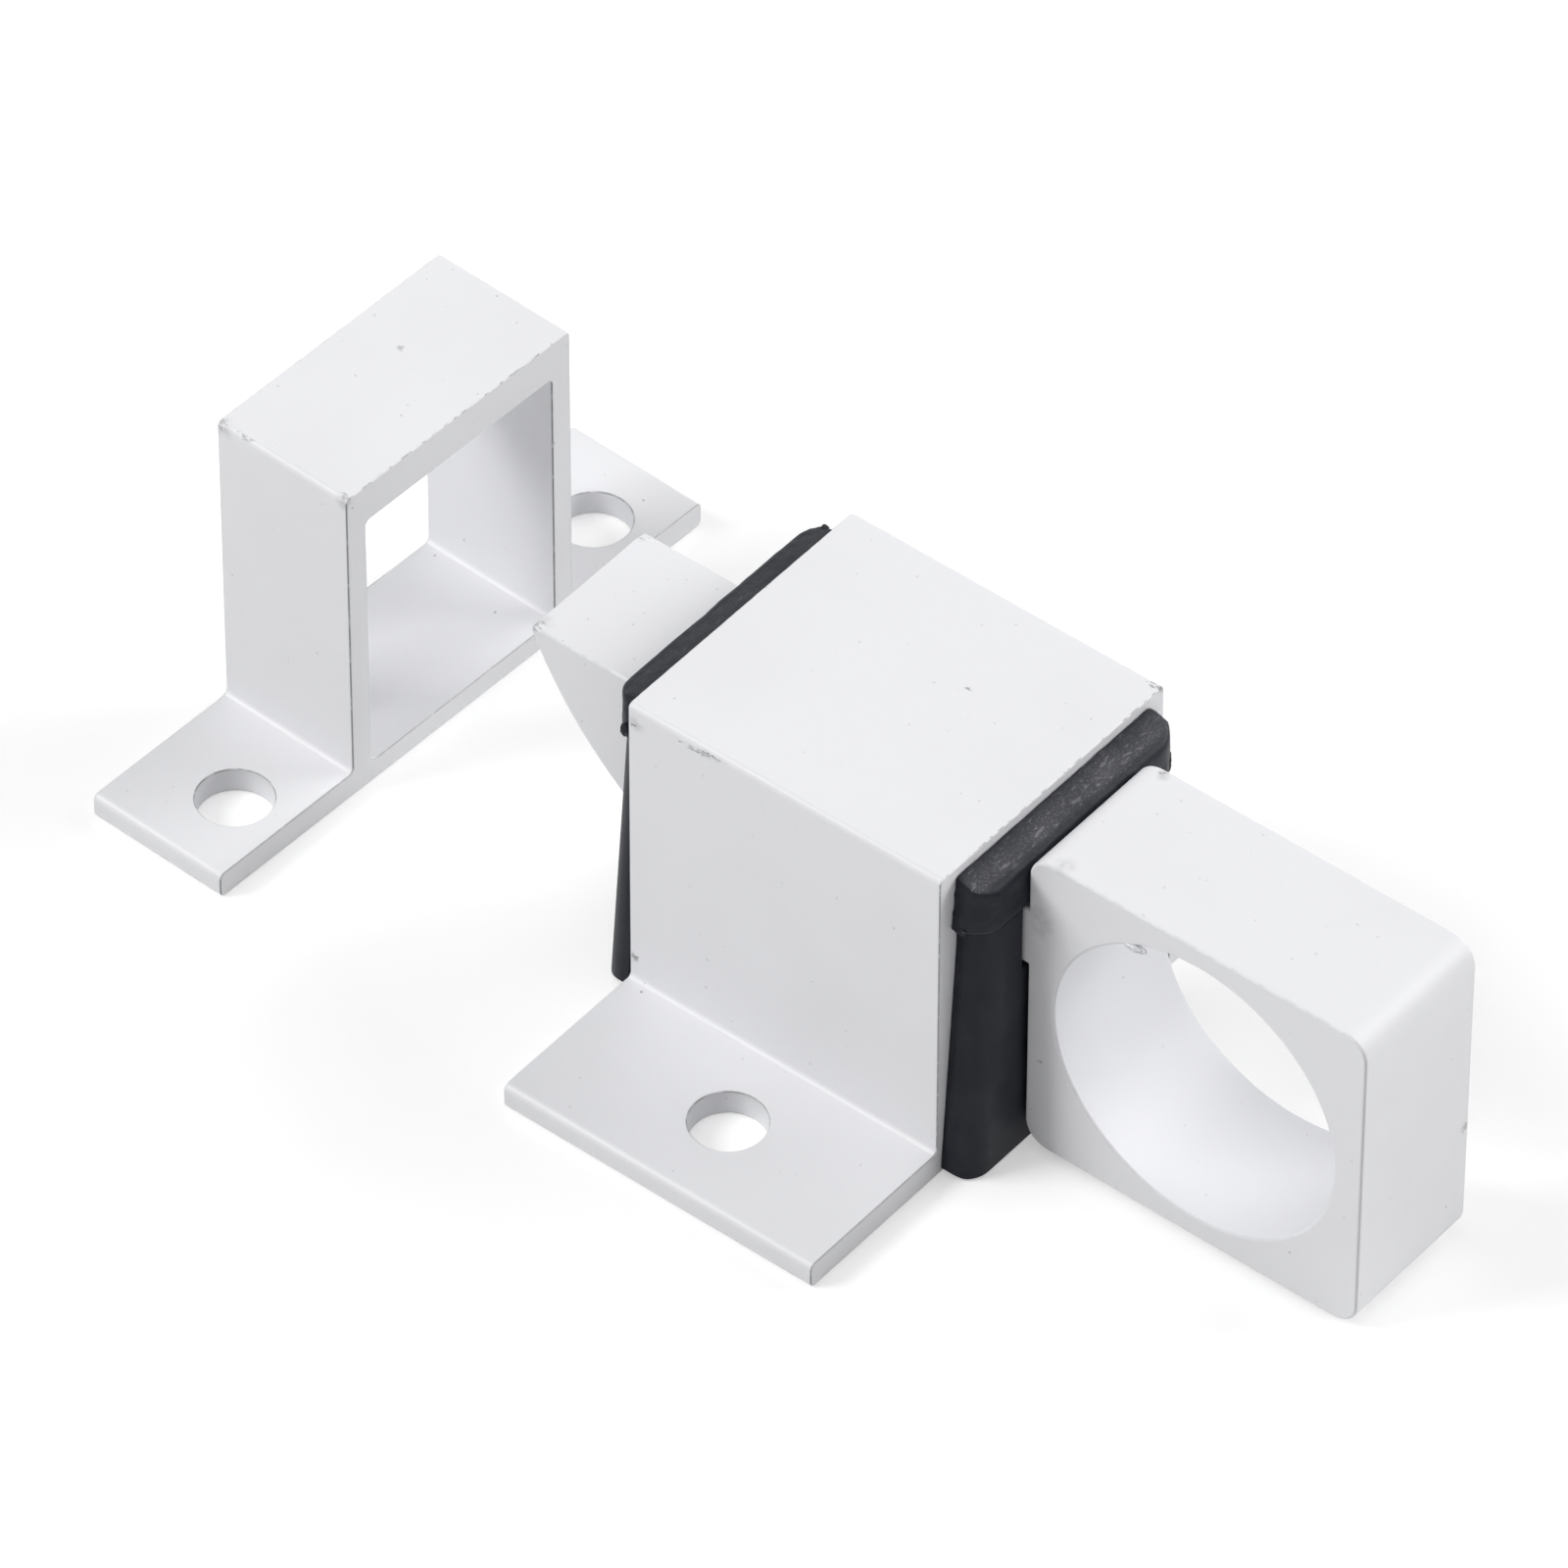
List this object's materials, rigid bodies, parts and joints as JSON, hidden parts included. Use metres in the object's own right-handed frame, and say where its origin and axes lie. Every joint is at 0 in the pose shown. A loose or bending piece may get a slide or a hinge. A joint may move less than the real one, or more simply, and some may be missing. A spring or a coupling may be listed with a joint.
{
  "type": "spring door latch",
  "caption": "Surface-mounted spring door latch: a hat-section housing with a sliding nosed bolt, a square finger ring and a separate matching keeper.",
  "frame": {"origin": "on the mounting face, midway between the housing's two screw holes", "axes": "+X along the bolt from the nose towards the finger ring, +Z away from the door"},
  "size_m": [0.091, 0.0496, 0.0262],
  "materials": {
    "housing": "white satin powder coat",
    "keeper": "white satin powder coat",
    "bolt": "white satin powder coat",
    "bush_plastic": "black moulded, slightly scuffed",
    "spring_steel": "drawn wire"
  },
  "bodies": {
    "case": {"housing": "housing", "keeper": "keeper", "nose_bush": "bush_plastic", "nose_bush_cap": "bush_plastic", "ring_bush": "bush_plastic", "ring_bush_cap": "bush_plastic", "spring": "spring_steel"},
    "slider": {"bolt": "bolt"}
  },
  "joints": [
    {"name": "bolt_slide", "type": "slide", "parent": "case", "child": "slider", "axis": [1, 0, 0], "range_m": [0, 0.0126], "stiffness_N_per_m": 540, "springref_m": -0.0086, "deforming": ["spring"]}
  ]
}
